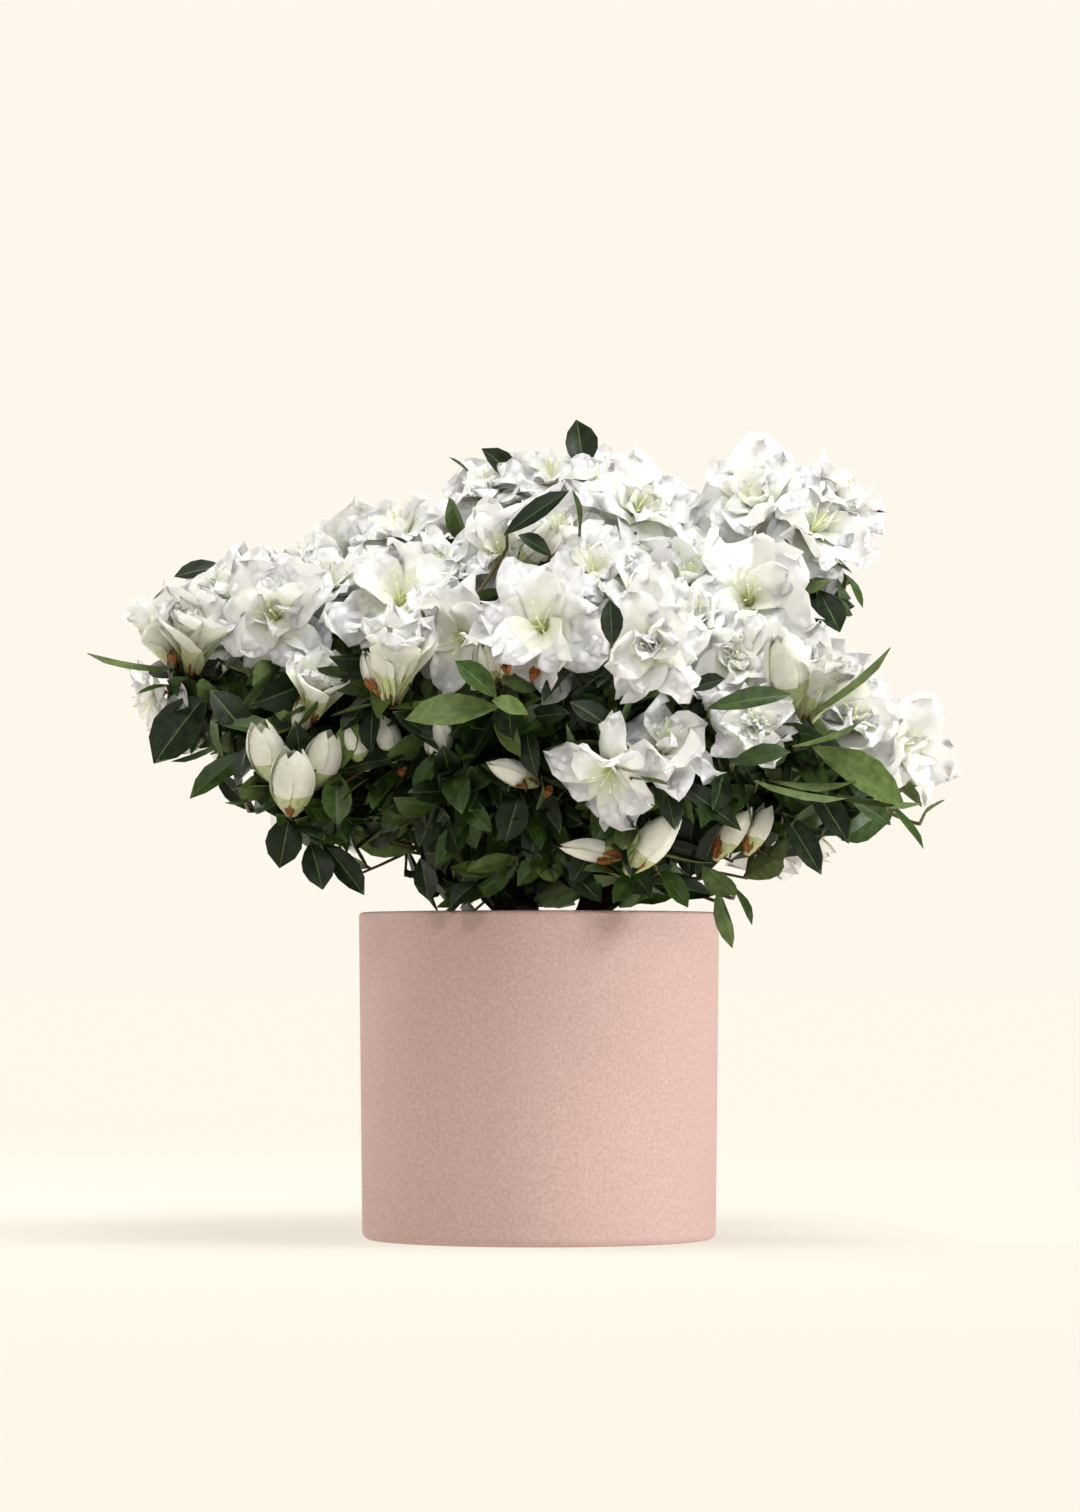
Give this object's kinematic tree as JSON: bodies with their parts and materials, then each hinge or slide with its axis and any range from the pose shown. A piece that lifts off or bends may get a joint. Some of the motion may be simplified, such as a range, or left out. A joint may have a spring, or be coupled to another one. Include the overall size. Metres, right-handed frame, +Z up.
{
  "type": "potted azalea shrub",
  "caption": "Evergreen azalea shrub with a spreading crown of white double flowers, in a plain straight-sided ceramic pot.",
  "frame": {"origin": "centre of the pot's flat underside", "axes": "+Z up along the pot's axis, -Y towards the plant's best side, +X to the right seen from there"},
  "size_m": [0.374, 0.3385, 0.3583],
  "materials": {
    "pot": "matt stoneware, dusty pink",
    "soil": "dark peat potting mix",
    "bark": "rough brown bark",
    "foliage": "dark green leaves with a soft gloss",
    "blossom": "thin white petals, green-yellow in the throat"
  },
  "bodies": {
    "root": {"pot": "pot", "potting_soil": "soil", "trunk": "bark", "side_stem": "bark", "bough_left": "bark", "bough_back_left": "bark", "bough_front_left": "bark", "bough_top_left": "bark", "bough_top_back": "bark", "bough_back": "bark", "bough_front": "bark", "bough_top_right": "bark", "bough_upper_right": "bark", "bough_right": "bark", "bough_back_right": "bark", "spray_left_outer": "blossom", "spray_left_front": "blossom", "spray_left_low": "foliage", "spray_centre_left": "blossom", "spray_front_under": "foliage", "spray_top_left": "blossom", "spray_top_centre": "blossom", "spray_top_front": "blossom", "spray_front": "blossom", "spray_front_low": "blossom", "spray_right_centre": "blossom", "spray_right_top": "blossom", "spray_right_front": "blossom", "spray_right_outer": "blossom", "spray_right_low": "foliage", "spray_back_left": "blossom", "spray_back_left_top": "blossom", "spray_back_left_low": "blossom", "spray_back_top": "blossom", "spray_back": "blossom", "spray_back_right_mid": "blossom", "spray_back_low": "foliage", "spray_back_right_top": "blossom", "spray_back_right": "blossom", "spray_back_right_low": "blossom", "spray_rim_left": "foliage", "spray_rim_right": "foliage"}
  },
  "joints": []
}
